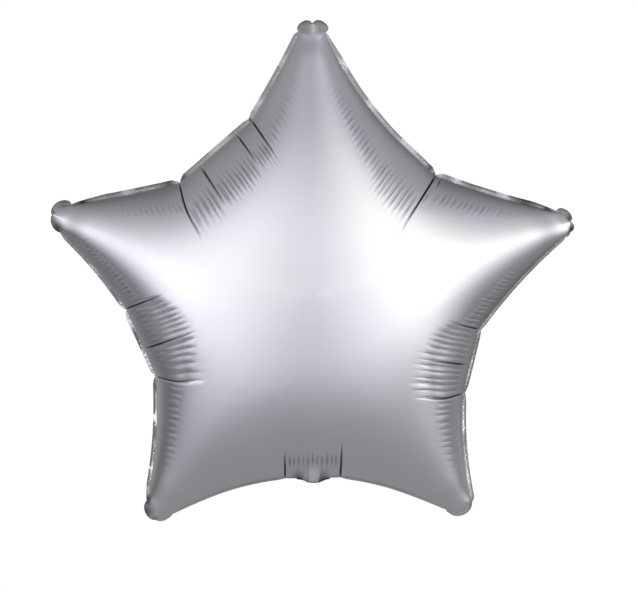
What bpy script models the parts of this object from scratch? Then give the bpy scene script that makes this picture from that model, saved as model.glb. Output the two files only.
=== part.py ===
"""Five-pointed star foil balloon, inflated, as one closed body.

Two star-shaped foil sheets are sealed to each other round the rim and blown up. Gas draws the rim
in, so the seam buckles into corners in the valleys, the foil gathers into pleats along the seam,
and the flat sealed rim ruffles outside it. The filling neck leaves the bottom valley and is folded
up behind the balloon.

Metres, +Z up. The front faces -Y. The origin is the neck's root, where a ribbon is tied.
"""

from math import cos, radians, sin

import bmesh
import bpy
import numpy as np

# The star as it hangs, seen from the front. Angles are degrees clockwise from straight up.
HUB_HEIGHT = 0.158  # centre of the star above the neck's root

# Each arm: angle and reach of its tip, then how far the seam bows in on its two long edges.
ARMS = {
    "top": {"angle": -0.1, "reach": 0.2344, "bow_before": 0.0009, "bow_after": 0.0052},
    "right": {"angle": 73.9, "reach": 0.2304, "bow_before": 0.0022, "bow_after": 0.0033},
    "lower_right": {"angle": 144.8, "reach": 0.2275, "bow_before": 0.0031, "bow_after": 0.0049},
    "lower_left": {"angle": 216.1, "reach": 0.2358, "bow_before": 0.0062, "bow_after": 0.0039},
    "left": {"angle": 287.3, "reach": 0.2347, "bow_before": 0.0030, "bow_after": 0.0010},
}

# Each valley, clockwise after the arm of the same row: the two corners that the seam folds to.
# From each corner a crease runs in, crease long and depth deep. aim is the point of the nearer
# arm's ridge that it heads for, as a share of the way from the star's centre to the arm's tip.
VALLEYS = (
    (
        {"angle": 28.0, "reach": 0.1534, "aim": 0.12, "crease": 0.0, "depth": 0.0},
        {"angle": 45.4, "reach": 0.1478, "aim": 0.22, "crease": 0.058, "depth": 0.0042},
    ),
    (
        {"angle": 101.4, "reach": 0.1457, "aim": 0.12, "crease": 0.038, "depth": 0.0036},
        {"angle": 122.8, "reach": 0.1538, "aim": 0.40, "crease": 0.044, "depth": 0.0042},
    ),
    (
        {"angle": 171.6, "reach": 0.1579, "aim": 0.22, "crease": 0.042, "depth": 0.0036},
        {"angle": 188.6, "reach": 0.1588, "aim": 0.16, "crease": 0.036, "depth": 0.0036},
    ),
    (
        {"angle": 243.0, "reach": 0.1518, "aim": 0.34, "crease": 0.050, "depth": 0.0042},
        {"angle": 265.9, "reach": 0.1616, "aim": 0.31, "crease": 0.046, "depth": 0.0042},
    ),
    (
        {"angle": 310.3, "reach": 0.1504, "aim": 0.38, "crease": 0.058, "depth": 0.0036},
        {"angle": 340.6, "reach": 0.1600, "aim": 0.31, "crease": 0.048, "depth": 0.0042},
    ),
)

TIP_RADIUS = 0.0112  # blunt end of the inflated part of each arm
ROUNDNESS = 0.79  # depth of the inflated section against a free, fully round one

# Sealed rim outside the seam.
RIM_WIDTH = 0.0060
RIM_THICKNESS = 0.0008
CORNER_RIM_WIDTH = 0.0018  # where a crease pinches the rim
CORNER_PINCH = 0.016  # length of seam over which the rim narrows into a corner
NOTCH_RIM_WIDTH = 0.0030  # at the middle of a tip, between its two ears
NOTCH_SPREAD = 22.0  # degrees round the tip
NOTCH_REACH = 1.5  # in tip radii
RIM_LEAN_TOP = 8.0  # how far the rim leans back, where it faces up and where it faces down
RIM_LEAN_BOTTOM = 60.0

# Gathers along the seam, a crest on every other column, and the creases at the corners.
PLEAT_STEEPNESS = 0.15  # height of a pleat over its pitch
PLEAT_REACH = 0.050  # how far in from the seam a pleat dies out
PLEAT_START = 0.004  # how far in from the seam it has its full height
RUFFLE_STEEPNESS = 0.12  # the seam's own wave, front to back
CREASE_WIDTH = 0.0030
CREASE_START = 0.006

# Filling neck, folded up behind the back sheet.
NECK_WIDTH = 0.030
NECK_LENGTH = 0.052
NECK_DROP = 0.0032  # how far its fold hangs below the rim
NECK_FOLD = 0.0070  # front to back
NECK_BEND = ((0.2, 0.8), (0.7, 1.0))  # points of the fold, as shares of NECK_FOLD and NECK_DROP
NECK_BEND_CURVE = 0.7  # how much higher the fold is at the neck's edges, as a share of NECK_DROP
NECK_CLEARANCE = 0.0014  # off the back sheet

# Fineness of the mesh: columns cross the seam, rows run along it.
RIDGE_COLUMNS = 32  # from a valley's middle to a tip's round end
TIP_COLUMNS = 5  # round half of a tip's end
# Shares of the way in from the seam to the ridge, closer where the foil bends most.
ROW_SHARES = (1.0, 0.88, 0.62, 0.36, 0.16, 0.04, 0.0)
NECK_ROWS = 6

WELD = 2e-5
TINY = 1e-12
SHARP_ANGLE = radians(50)
FOIL_COLOUR = (0.70, 0.69, 0.73, 1.0)
FOIL_ROUGHNESS = 0.36

HALF_COLUMNS = RIDGE_COLUMNS + TIP_COLUMNS
COLUMNS = 2 * HALF_COLUMNS * len(ARMS)
RIM_ROW = len(ROW_SHARES)  # the rim's outer edge, on the front sheet


def clear_scene():
    for obj in list(bpy.data.objects):
        bpy.data.objects.remove(obj)


def polar(angle, reach):
    """A point of the star's plane as (x, z), from the star's centre."""
    return np.array([reach * sin(radians(angle)), reach * cos(radians(angle))])


def turned(vector):
    """The vector a quarter turn anticlockwise."""
    return np.array([-vector[1], vector[0]])


def unit(vectors):
    return vectors / np.maximum(np.linalg.norm(vectors, axis=-1, keepdims=True), TINY)


def valley_middle(first, second, angle):
    """Where the ray at this angle crosses the line between a valley's two corners."""
    start = polar(first["angle"], first["reach"])
    end = polar(second["angle"], second["reach"])
    across = turned(polar(angle, 1.0))
    share = (start @ across) / ((start - end) @ across)
    return start + share * (end - start)


def half_arm(arm, corner, middle, bow, side):
    """Seam points of half an arm, from the valley's middle to the tip's end, and their ridge points.

    side is 1 on the clockwise side of the arm and -1 on the other.
    """
    along = polar(arm["angle"], 1.0)
    across = -side * turned(along)
    ridge_end = (arm["reach"] - TIP_RADIUS) * along
    elbow = polar(corner["angle"], corner["reach"])

    # The long edge touches the tip's round end, at this angle off the arm's line.
    to_elbow = elbow - ridge_end
    distance = np.linalg.norm(to_elbow)
    touch = np.arctan2(to_elbow @ across, to_elbow @ along) - np.arccos(TIP_RADIUS / distance)
    tangent = ridge_end + TIP_RADIUS * (np.cos(touch) * along + np.sin(touch) * across)

    corner_column = round(corner["aim"] * RIDGE_COLUMNS)
    to_corner = np.linspace(0, 1, corner_column + 1)[:, None]
    to_tip = np.linspace(0, 1, RIDGE_COLUMNS - corner_column + 1)[1:, None]
    round_tip = touch * (1 - np.arange(1, TIP_COLUMNS + 1) / TIP_COLUMNS)[:, None]
    inward = side * turned(unit(tangent - elbow))
    seam = np.concatenate([
        middle + to_corner * (elbow - middle),
        elbow + to_tip * (tangent - elbow) + 4 * bow * to_tip * (1 - to_tip) * inward,
        ridge_end + TIP_RADIUS * (np.cos(round_tip) * along + np.sin(round_tip) * across),
    ])
    share = np.minimum(np.arange(HALF_COLUMNS + 1) / RIDGE_COLUMNS, 1.0)[:, None]
    return seam, share * ridge_end, corner_column


def lay_out_columns():
    """Seam points, ridge points and creases of all columns, clockwise from the top arm's tip."""
    arms = list(ARMS.values())
    seam, ridge, creases = [], [], []
    for i, valley in enumerate(VALLEYS):
        arm, following = arms[i], arms[(i + 1) % len(arms)]
        turn = (following["angle"] - arm["angle"]) % 360
        middle = valley_middle(valley[0], valley[1], arm["angle"] + turn / 2)
        down = half_arm(arm, valley[0], middle, arm["bow_after"], 1)
        up = half_arm(following, valley[1], middle, following["bow_before"], -1)
        first = len(seam)
        creases.append((first + HALF_COLUMNS - down[2], valley[0]))
        creases.append((first + HALF_COLUMNS + up[2], valley[1]))
        seam += [*down[0][::-1], *up[0][1:-1]]
        ridge += [*down[1][::-1], *up[1][1:-1]]
    return np.array(seam), np.array(ridge), creases


def membrane(plan):
    """Height of an elastic membrane blown up over the plan: zero on the seam, smooth on the ridges.

    plan[column, row] is (x, z), with row 0 on the ridge and the last row on the seam. The height is
    scaled so that a long straight arm would be a round tube.
    """
    _, index = np.unique(
        np.round(plan.reshape(-1, 2) / WELD).astype(int), axis=0, return_inverse=True
    )
    index = index.reshape(plan.shape[:2])
    points = np.zeros((index.max() + 1, 2))
    points[index] = plan
    beside = np.roll(index, -1, axis=0)
    triangles = np.concatenate([
        np.stack([index[:, :-1], index[:, 1:], beside[:, 1:]], -1).reshape(-1, 3),
        np.stack([index[:, :-1], beside[:, 1:], beside[:, :-1]], -1).reshape(-1, 3),
    ])
    stiffness = np.zeros((len(points), len(points)))
    load = np.zeros(len(points))
    for turn in range(3):
        a, b, c = (np.roll(triangles, turn, axis=1)[:, n] for n in range(3))
        to_a = points[a] - points[c]
        to_b = points[b] - points[c]
        area = np.abs(to_a[:, 0] * to_b[:, 1] - to_a[:, 1] * to_b[:, 0])
        whole = area > TINY
        weight = np.where(whole, (to_a * to_b).sum(1) / np.where(whole, 2 * area, 1), 0)
        np.add.at(stiffness, (a, b), -weight)
        np.add.at(stiffness, (b, a), -weight)
        np.add.at(stiffness, (a, a), weight)
        np.add.at(stiffness, (b, b), weight)
        np.add.at(load, c, area / 6)
    free = np.setdiff1d(np.arange(len(points)), index[:, -1])
    height = np.zeros(len(points))
    height[free] = np.linalg.solve(stiffness[np.ix_(free, free)], load[free])
    return np.sqrt(2 * np.maximum(height, 0))[index]


def near(points, others, length):
    """1 where a point is on one of the others, falling to 0 at this length away."""
    gap = np.linalg.norm(points[:, None] - np.asarray(others)[None], axis=-1).min(axis=1)
    return np.clip(1 - gap / length, 0, 1) ** 2


def pinches(seam, creases):
    return near(seam, [seam[column] for column, corner in creases if corner["depth"]], CORNER_PINCH)


def over_neck(seam):
    """1 across the neck's root, falling to 0 half its width to each side."""
    return np.clip(2 - 2 * np.abs(seam[:, 0]) / NECK_WIDTH, 0, 1) * (seam[:, 1] < 0)


def rim_widths(seam, creases):
    """Width of the sealed rim at each column: narrower at creases and in the notch of each tip."""
    width = RIM_WIDTH + (CORNER_RIM_WIDTH - RIM_WIDTH) * pinches(seam, creases)
    for arm in ARMS.values():
        along = polar(arm["angle"], 1.0)
        offset = seam - (arm["reach"] - TIP_RADIUS) * along
        at_tip = np.linalg.norm(offset, axis=1) < NOTCH_REACH * TIP_RADIUS
        angle = np.degrees(np.arctan2(offset @ turned(along), offset @ along))
        notch = at_tip * np.exp(-((angle / NOTCH_SPREAD) ** 2))
        width += (NOTCH_RIM_WIDTH - RIM_WIDTH) * notch
    return width


def lay_out_rim(seam, creases):
    """Outer edge of the rim in the star's plane, and how far back it leans at each column."""
    along = unit(np.roll(seam, -1, axis=0) - np.roll(seam, 1, axis=0))
    outward = np.stack([-along[:, 1], along[:, 0]], -1)
    upward = (outward[:, 1] + 1) / 2
    lean = np.radians(RIM_LEAN_BOTTOM + (RIM_LEAN_TOP - RIM_LEAN_BOTTOM) * upward)
    width = rim_widths(seam, creases)
    return seam + outward * (width * np.cos(lean))[:, None], width * np.sin(lean)


def shape_foil(seam, ridge, creases):
    """Points of every column, from the front ridge over the rim to the back ridge."""
    shares = np.array(ROW_SHARES)[None, :, None]
    plan = seam[:, None] + shares * (ridge - seam)[:, None]
    height = ROUNDNESS * membrane(plan)
    depth_in = np.linalg.norm(plan - seam[:, None], axis=-1)
    pitch = np.linalg.norm(np.roll(seam, -1, axis=0) - np.roll(seam, 1, axis=0), axis=1)
    wave = np.where(np.arange(COLUMNS) % 2, -pitch, pitch)
    wave *= (1 - pinches(seam, creases)) * (1 - over_neck(seam))
    rim, rim_back = lay_out_rim(seam, creases)

    sheets = []
    for side in (-1, 1):
        sheet = np.stack([plan[..., 0], side * height, plan[..., 1]], -1)
        sheet += fold_foil(sheet, side, depth_in, wave, creases)
        sheet[:, -1, 1] = RUFFLE_STEEPNESS * wave + side * RIM_THICKNESS / 2
        edge = np.stack([rim[:, 0], rim_back + side * RIM_THICKNESS / 2, rim[:, 1]], -1)
        edge[:, 1] += 2 * RUFFLE_STEEPNESS * wave
        sheets.append(np.concatenate([sheet, edge[:, None]], axis=1))
    points = np.concatenate([sheets[0], sheets[1][:, ::-1]], axis=1)
    points[..., 2] += HUB_HEIGHT
    return points


def fold_foil(sheet, side, depth_in, wave, creases):
    """Moves of one sheet's points along its normal: pleats off the seam, and a crease per corner."""
    across = np.roll(sheet, -1, axis=0) - np.roll(sheet, 1, axis=0)
    down = np.gradient(sheet, axis=1)
    normal = side * unit(np.cross(down, across))
    fade = np.clip(1 - depth_in / PLEAT_REACH, 0, 1) * np.clip(depth_in / PLEAT_START, 0, 1)
    fade[:, 0] = 0
    move = side * PLEAT_STEEPNESS * wave[:, None] * fade
    for column, corner in creases:
        if not corner["depth"]:
            continue
        beside = np.linalg.norm(sheet - sheet[column], axis=-1)
        length = np.clip(1 - depth_in / corner["crease"], 0, 1)
        start = np.clip(depth_in / CREASE_START, 0, 1)
        move = move - corner["depth"] * start * length * np.exp(-((beside / CREASE_WIDTH) ** 2))
    return normal * move[..., None]


def foil_body(points):
    """One closed body: a strip of foil as long as the seam, rolled up and welded at the ridges."""
    columns, rows = points.shape[:2]
    body = bmesh.new()
    row_of = body.verts.layers.int.new("row")
    grid = bmesh.ops.create_grid(body, x_segments=columns, y_segments=rows - 1, size=1.0)["verts"]
    for vertex in grid:
        column = round((vertex.co.x + 1) / 2 * columns) % columns
        vertex[row_of] = round((vertex.co.y + 1) / 2 * (rows - 1))
        vertex.co = points[column, vertex[row_of]]
    bmesh.ops.remove_doubles(body, verts=body.verts, dist=WELD)
    bmesh.ops.dissolve_degenerate(body, edges=body.edges, dist=WELD)
    bmesh.ops.recalc_face_normals(body, faces=body.faces)
    return body


def neck_path(points):
    """Middle line of the folded neck as (y, z), from the rim down, back and up behind the foil."""
    rim = points[:, RIM_ROW]
    columns = points[(np.abs(rim[:, 0]) < NECK_WIDTH / 2) & (rim[:, 2] < NECK_LENGTH)]
    root = columns[:, RIM_ROW : RIM_ROW + 2, 1:].mean(axis=(0, 1))
    behind = columns[:, RIM_ROW + 2 :]
    profile = np.stack([behind[..., 1].max(axis=0), behind[..., 2].mean(axis=0)], -1)
    along = unit(np.gradient(profile, axis=0))
    clear = profile + NECK_CLEARANCE * np.stack([along[:, 1], -along[:, 0]], -1)
    bend = [root + [NECK_FOLD * y, -NECK_DROP * z] for y, z in NECK_BEND]
    line = np.array([root, *bend, *clear[clear[:, 0] > root[0] + NECK_FOLD]])
    run = np.concatenate([[0], np.cumsum(np.linalg.norm(np.diff(line, axis=0), axis=1))])
    up = len(bend)
    steps = np.concatenate([run[: up + 1], np.linspace(run[up], NECK_LENGTH, NECK_ROWS + 1)[1:]])
    return np.stack([np.interp(steps, run, line[:, n]) for n in (0, 1)], -1)


def add_neck(body, points):
    """Draws the neck out of the rim's edge over its width, along the folded path."""
    row_of = body.verts.layers.int["row"]

    def on_neck(vertex):
        on_edge = vertex[row_of] in (RIM_ROW, RIM_ROW + 1)
        return on_edge and abs(vertex.co.x) < NECK_WIDTH / 2 and vertex.co.z < NECK_LENGTH

    drawn = [face for face in body.faces if all(on_neck(vertex) for vertex in face.verts)]
    path = neck_path(points)
    for step, (before, after) in enumerate(zip(path, path[1:])):
        curve = NECK_BEND_CURVE * NECK_DROP if step < len(NECK_BEND) else 0.0
        old = drawn
        extruded = bmesh.ops.extrude_face_region(body, geom=old)["geom"]
        bmesh.ops.delete(body, geom=old, context="FACES")
        drawn = [item for item in extruded if isinstance(item, bmesh.types.BMFace)]
        ahead = unit(after - before)
        for vertex in {vertex for face in drawn for vertex in face.verts}:
            off = RIM_THICKNESS / 2 if vertex[row_of] > RIM_ROW else -RIM_THICKNESS / 2
            vertex.co.y = after[0] - off * ahead[1]
            vertex.co.z = after[1] + off * ahead[0] + curve * (2 * vertex.co.x / NECK_WIDTH) ** 2


def foil_material():
    material = bpy.data.materials.new("satin_foil")
    material.use_nodes = True
    shader = material.node_tree.nodes["Principled BSDF"]
    shader.inputs["Base Color"].default_value = FOIL_COLOUR
    shader.inputs["Metallic"].default_value = 1.0
    shader.inputs["Roughness"].default_value = FOIL_ROUGHNESS
    return material


def build():
    clear_scene()
    seam, ridge, creases = lay_out_columns()
    points = shape_foil(seam, ridge, creases)
    body = foil_body(points)
    add_neck(body, points)
    bmesh.ops.recalc_face_normals(body, faces=body.faces)
    mesh = bpy.data.meshes.new("star_balloon")
    body.to_mesh(mesh)
    body.free()
    mesh.shade_smooth()
    mesh.set_sharp_from_angle(angle=SHARP_ANGLE)
    mesh.materials.append(foil_material())
    balloon = bpy.data.objects.new("star_balloon", mesh)
    collection = bpy.data.collections.new("star_foil_balloon")
    bpy.context.scene.collection.children.link(collection)
    collection.objects.link(balloon)


build()
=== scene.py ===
"""Looks of the star foil balloon: its gathered, creased foil, sealed rim and folded filling neck.

The outline is that of the frame's solid. The foil is laid out in columns that run from the seam in
to the ridges of the arms, and rows that run round the star, then blown up, pleated and creased.
"""

from collections import namedtuple
from math import cos, pi, radians, sin

import bmesh
import bpy
import numpy as np
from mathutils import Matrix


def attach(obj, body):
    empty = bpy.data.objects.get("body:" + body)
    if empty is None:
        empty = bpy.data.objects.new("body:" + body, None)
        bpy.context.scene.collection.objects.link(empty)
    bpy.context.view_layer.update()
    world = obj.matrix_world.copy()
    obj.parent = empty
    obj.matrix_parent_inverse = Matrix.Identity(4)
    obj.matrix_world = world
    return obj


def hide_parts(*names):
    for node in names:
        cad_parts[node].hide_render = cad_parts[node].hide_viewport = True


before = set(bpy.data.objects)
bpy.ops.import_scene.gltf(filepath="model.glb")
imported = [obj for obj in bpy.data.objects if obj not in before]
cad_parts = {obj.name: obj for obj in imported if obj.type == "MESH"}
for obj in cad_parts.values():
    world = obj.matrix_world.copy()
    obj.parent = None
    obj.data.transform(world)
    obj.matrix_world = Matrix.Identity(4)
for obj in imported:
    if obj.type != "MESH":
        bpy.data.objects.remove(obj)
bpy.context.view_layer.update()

# The star, seen from the front. Angles are degrees clockwise from straight up.
HUB_HEIGHT = 0.158  # centre of the star above the neck's root
ARMS = (
    {"angle": -0.1, "reach": 0.2344, "bow_before": 0.0009, "bow_after": 0.0052},
    {"angle": 73.9, "reach": 0.2304, "bow_before": 0.0022, "bow_after": 0.0033},
    {"angle": 144.8, "reach": 0.2275, "bow_before": 0.0031, "bow_after": 0.0049},
    {"angle": 216.1, "reach": 0.2358, "bow_before": 0.0062, "bow_after": 0.0039},
    {"angle": 287.3, "reach": 0.2347, "bow_before": 0.0030, "bow_after": 0.0010},
)

# The two corners of each valley, clockwise. Folds near a corner head for the point of the nearer
# arm's ridge at this share of its length. The rim is gathered there down to this width.
VALLEYS = (
    (
        {"angle": 28.0, "reach": 0.1534, "aim": 0.12, "rim": 0.0062},
        {"angle": 45.4, "reach": 0.1478, "aim": 0.22, "rim": 0.0006},
    ),
    (
        {"angle": 101.4, "reach": 0.1457, "aim": 0.05, "rim": 0.0040},
        {"angle": 122.8, "reach": 0.1538, "aim": 0.48, "rim": 0.0034},
    ),
    (
        {"angle": 171.6, "reach": 0.1579, "aim": 0.22, "rim": 0.0016},
        {"angle": 188.6, "reach": 0.1588, "aim": 0.16, "rim": 0.0016},
    ),
    (
        {"angle": 243.0, "reach": 0.1518, "aim": 0.40, "rim": 0.0020},
        {"angle": 265.9, "reach": 0.1616, "aim": 0.31, "rim": 0.0010},
    ),
    (
        {"angle": 310.3, "reach": 0.1504, "aim": 0.38, "rim": 0.0006},
        {"angle": 340.6, "reach": 0.1600, "aim": 0.31, "rim": 0.0040},
    ),
)
PARTINGS = (0.5, 0.42, 0.5, 0.5, 0.5)  # where each valley's folds part, as a share of its angle
TIP_RADIUS = 0.0112
ROUNDNESS = 0.79  # height of the bag as a share of the height that the membrane takes by itself

# Deep creases, each at an angle round the star, with its depth at the seam, its length, where along
# it it starts, and how far it bows aside (positive is clockwise round the star).
CREASES = (
    {"angle": 45.4, "depth": 0.0050, "length": 0.054, "start": 0.0, "bow": 0.0},
    {"angle": 47.3, "depth": 0.0030, "length": 0.012, "start": 0.002, "bow": 0.0},
    {"angle": 101.4, "depth": 0.0042, "length": 0.026, "start": 0.0, "bow": 0.0},
    {"angle": 113.6, "depth": 0.0034, "length": 0.042, "start": 0.005, "bow": 0.0},
    {"angle": 122.8, "depth": 0.0046, "length": 0.034, "start": 0.0, "bow": -0.0020},
    {"angle": 171.6, "depth": 0.0046, "length": 0.034, "start": 0.0, "bow": 0.0},
    {"angle": 188.6, "depth": 0.0046, "length": 0.028, "start": 0.0, "bow": 0.0},
    {"angle": 243.0, "depth": 0.0048, "length": 0.038, "start": 0.0, "bow": 0.0020},
    {"angle": 252.6, "depth": 0.0036, "length": 0.048, "start": 0.004, "bow": 0.0},
    {"angle": 265.9, "depth": 0.0048, "length": 0.036, "start": 0.0, "bow": 0.0},
    {"angle": 310.3, "depth": 0.0046, "length": 0.052, "start": 0.0, "bow": 0.0022},
    {"angle": 319.2, "depth": 0.0038, "length": 0.044, "start": 0.004, "bow": 0.0},
    {"angle": 334.6, "depth": 0.0036, "length": 0.034, "start": 0.003, "bow": 0.0},
    {"angle": 340.6, "depth": 0.0050, "length": 0.040, "start": 0.0, "bow": 0.0},
)
BOW_HALF_WIDTH = 0.016  # how far along the seam a bow draws its neighbours with it
BOW_LENGTH = 1.1  # how far in a bow is felt, for each length of its crease
CREASE_HALF_WIDTH = 0.0009
CREASE_SHARPNESS = 1.2  # 1 is a plain V
CREASE_TAPER = 0.8  # how its depth runs out toward its inner end, where 1 is evenly
CREASE_RISE = 0.003  # a crease that starts inside the seam deepens over this length

# Pleats, as (where they start in from the seam, how far in they reach, depth, pitch): on the arm's
# side before each valley, across the valley's panel, and on the arm's side after it. Along an arm
# they come closer to the seam toward its tip.
PLEATS = (
    ((0.022, 0.042, 0.0006, 0.0046), (0.024, 0.052, 0.0007, 0.0044), (0.018, 0.032, 0.0006, 0.0049)),
    ((0.009, 0.019, 0.0020, 0.0044), (0.008, 0.043, 0.0008, 0.0048), (0.012, 0.027, 0.0005, 0.0058)),
    ((0.010, 0.016, 0.0001, 0.0090), (0.010, 0.026, 0.0014, 0.0042), (0.010, 0.016, 0.0001, 0.0090)),
    ((0.012, 0.027, 0.0005, 0.0058), (0.008, 0.047, 0.0008, 0.0050), (0.009, 0.019, 0.0022, 0.0044)),
    ((0.020, 0.032, 0.0005, 0.0049), (0.023, 0.048, 0.0009, 0.0043), (0.024, 0.036, 0.0005, 0.0049)),
)
PLEATS_AT_TIP = 0.011  # reach there
PLEATS_FROM_TIP = 0.024  # nearer a tip than this there are none
PLEATS_FADE = 0.060  # and they come to their full depth over this length
START_SPREAD = (0.90, 1.08)
REACH_SPREAD = (0.96, 1.04)
DEPTH_SPREAD = (0.80, 1.15)

# The gathers draw each valley's panel flat. This is how far it falls below the blown-up form where
# it is lowest, how far in from the seam that is, and how far in the panel ends. At its first and
# last corner the panel and its pleats end nearer the seam, at these shares.
PANELS = (
    {"fall": 0.0001, "lowest": 0.030, "end": 0.050, "shares": (0.80, 1.0)},
    {"fall": 0.0016, "lowest": 0.033, "end": 0.044, "shares": (0.64, 0.82)},
    {"fall": 0.0004, "lowest": 0.020, "end": 0.040, "shares": (1.0, 1.0)},
    {"fall": 0.0015, "lowest": 0.035, "end": 0.050, "shares": (0.80, 0.70)},
    {"fall": 0.0002, "lowest": 0.030, "end": 0.048, "shares": (1.0, 0.78)},
)
PANEL_EDGE = 0.0022  # beyond its corners a panel runs out over this length
PLEAT_CREST = 0.28  # how far a pleat's crest rises, as a share of its depth
PLEAT_SHADE = 190.0  # how dark the painted shade in a pleat's fold is, for each metre of its depth
PLEAT_JITTER = 0.12  # of the pitch
PLEAT_SHARPNESS = 1.8  # 1 is a plain V
PLEAT_RISE = 0.007  # a pleat deepens over this length
PLEAT_END = 0.0052  # and ends over this one
PLEAT_END_SHARE = 0.4  # neither takes more of its length than this
BACK_PLEATS = 0.5  # how deep they are in the back sheet, where they lie between the front's
SEAM_WAVE = 0.00005  # how far the seam sways front to back from pleat to pleat
COLUMNS_TO_MIDDLE = (0.0, 0.09, 0.26)  # of a pleat's pitch, from a pleat
COLUMNS_TO_MIDDLE_OF_CREASE = (0.0, 0.06, 0.11, 0.16, 0.23, 0.35)
SHARP_FOLD = 55.0  # the foil is drawn as a sharp edge where it turns by more degrees than this

# Sealed rim.
RIM_WIDTH = 0.0058
RIM_THICKNESS = 0.0004
RIM_SHARES = (0.12, 0.5, 1.0)  # of the rim's width, where its rows run
# How many degrees it leans back, and how wide it looks from the front, by the angle it faces.
RIM_LEANS = (
    (0, 36), (60, 37), (90, 42), (135, 41), (180, 50), (225, 34), (252, 33), (275, 40), (300, 36),
)
RIM_LOOKS = (
    (0, 0.0047), (60, 0.0047), (80, 0.0040), (110, 0.0034), (135, 0.0026), (165, 0.0013),
    (195, 0.0013), (225, 0.0030), (250, 0.0034), (280, 0.0040), (300, 0.0047),
)
RIM_GATHER = 0.007  # how far from a corner the rim is back at its width
RIM_GATHER_CURVE = 0.7
# Waves of the rim as (pitch, height): in degrees of lean, and in metres front to back at its edge.
LEAN_WAVES = ((0.046, 3.6), (0.021, 2.0))
EDGE_WAVES = ((0.0093, 0.00004), (0.0046, 0.000015))
WAVE_SWELL = 0.5  # how much a wave swells and sinks along the seam
WAVES_TO_SWELL = 7  # waves from one swell to the next
PHASE_SPREAD = (0, 6)  # where a wave begins, in radians

# The gathered rim at each tip, along the seam from the tip's end: its ears as (place, half length,
# width as seen from the front), and on either side of them the width the rim starts from and the
# length over which it comes back to full width.
TIPS = (
    {
        "ears": ((-0.0070, 0.0064, 0.0062), (0.0070, 0.0065, 0.0064)),
        "before": (0.0040, 0.004),
        "after": (0.0014, 0.024),
    },
    {
        "ears": ((-0.0078, 0.0076, 0.0054), (0.0043, 0.0036, 0.0040), (0.0105, 0.0030, 0.0022)),
        "before": (0.0008, 0.022),
        "after": (0.0030, 0.004),
    },
    {
        "ears": ((0.0036, 0.0142, 0.0024),),
        "before": (0.0040, 0.003),
        "after": (0.0008, 0.030),
    },
    {
        "ears": ((-0.0115, 0.0074, 0.0020), (0.0056, 0.0094, 0.0030)),
        "before": (0.0008, 0.030),
        "after": (0.0008, 0.016),
    },
    {
        "ears": ((-0.0086, 0.0083, 0.0024), (0.0098, 0.0094, 0.0060)),
        "before": (0.0014, 0.008),
        "after": (0.0006, 0.030),
    },
)
TIP_EDGE = 0.004  # beyond its ears the tip's rim runs into the plain rim over this length
TIP_TAPER_CURVE = 0.6
EAR_ROOT = 0.0008  # width of the rim between ears
EAR_LEAN = 52.0
EAR_CURL = 0.0026  # how far the seam curls back at an ear
CURLING_EAR = 0.003  # half length from which an ear curls, fully at twice as much
CURL_REACH = 0.0105  # how far in from the seam the curl is felt
TIP_CONE = 0.040  # how far from a tip's end its ridge runs straight down to the seam
CONE_SHARE = 0.3  # of that length, before the cone rounds off into the arm
CREST_HALF_WIDTH = 0.0008
ARM_HALF_WIDTH = 0.05  # the most that an arm is wide there, to each side
TIP_LIFT = 0.0036  # how far forward a tip's end bends

# Painted shade in the rim's deep folds, as (angle round the star, half length, strength, and how
# far in over the foil it reaches).
PAINTED_RIM_SHADE = (
    (42.3, 0.0050, 0.70, 0.0005),
    (45.1, 0.0040, 0.98, 0.0020),
    (49.0, 0.0080, 0.50, 0.0005),
    (66.8, 0.0180, 0.75, 0.0015),
    (69.8, 0.0080, 0.92, 0.0015),
    (73.2, 0.0045, 0.75, 0.0030),
    (75.3, 0.0055, 0.80, 0.0030),
    (177.1, 0.0080, 0.95, 0.0120),
    (180.4, 0.0380, 0.50, 0.0012),
    (184.6, 0.0075, 0.90, 0.0120),
    (215.4, 0.0040, 0.60, 0.0040),
    (217.3, 0.0070, 0.50, 0.0100),
    (219.1, 0.0060, 0.98, 0.0040),
    (284.8, 0.0070, 0.80, 0.0050),
    (287.7, 0.0040, 0.60, 0.0020),
    (291.9, 0.0100, 0.95, 0.0015),
    (307.6, 0.0080, 0.70, 0.0005),
    (312.2, 0.0090, 0.80, 0.0008),
    (340.7, 0.0030, 0.80, 0.0010),
)

# Where the rows run, as shares of the way from the seam in to the ridge.
ROW_SHARES = np.concatenate([
    0.06 * np.linspace(0, 1, 6)[:-1] ** 1.6,
    np.linspace(0.06, 0.40, 13)[:-1],
    0.40 + 0.60 * np.linspace(0, 1, 7) ** 1.2,
])
ROWS = len(ROW_SHARES) - 1
RIM_ROW = ROWS + len(RIM_SHARES)
RIDGE_STATIONS = 80  # places along each ridge where columns meet

# The filling neck, folded up behind the foil.
NECK_WIDTH = 0.030
NECK_LENGTH = 0.052
NECK_DROP = 0.0008  # how far its fold hangs below the rim
NECK_FOLD = 0.0070  # front to back
NECK_BEND = ((0.2, 0.8), (0.7, 1.0))  # points of the fold, as shares of NECK_FOLD and NECK_DROP
NECK_CLEARANCE = 0.0014  # off the back sheet
NECK_ROWS = 18
NECK_LEAN = 72.0
NECK_BULGE = 0.0034  # how far the seam dips at the neck
NECK_BULGE_HALF = 0.0088
NECK_SIDE = 0.0006  # how far right of the root the bulge has its middle
NECK_SWELL = 0.0050  # how far the seam comes forward there
SWELL_REACH = 0.010  # how much further in that is felt than an ear's curl
DIP_REACH = 0.009  # how far in from the seam the foil dips with it
STRIP_HALF = 0.0052  # the flat strip that the neck presses into the front
STRIP_RISE = 0.0034
STRIP_LENGTH = 0.020
STRIP_PAINTED_HIGHLIGHT_LENGTH = 0.009  # a painted highlight lightens it this far in, and fades out over as much again

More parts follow.
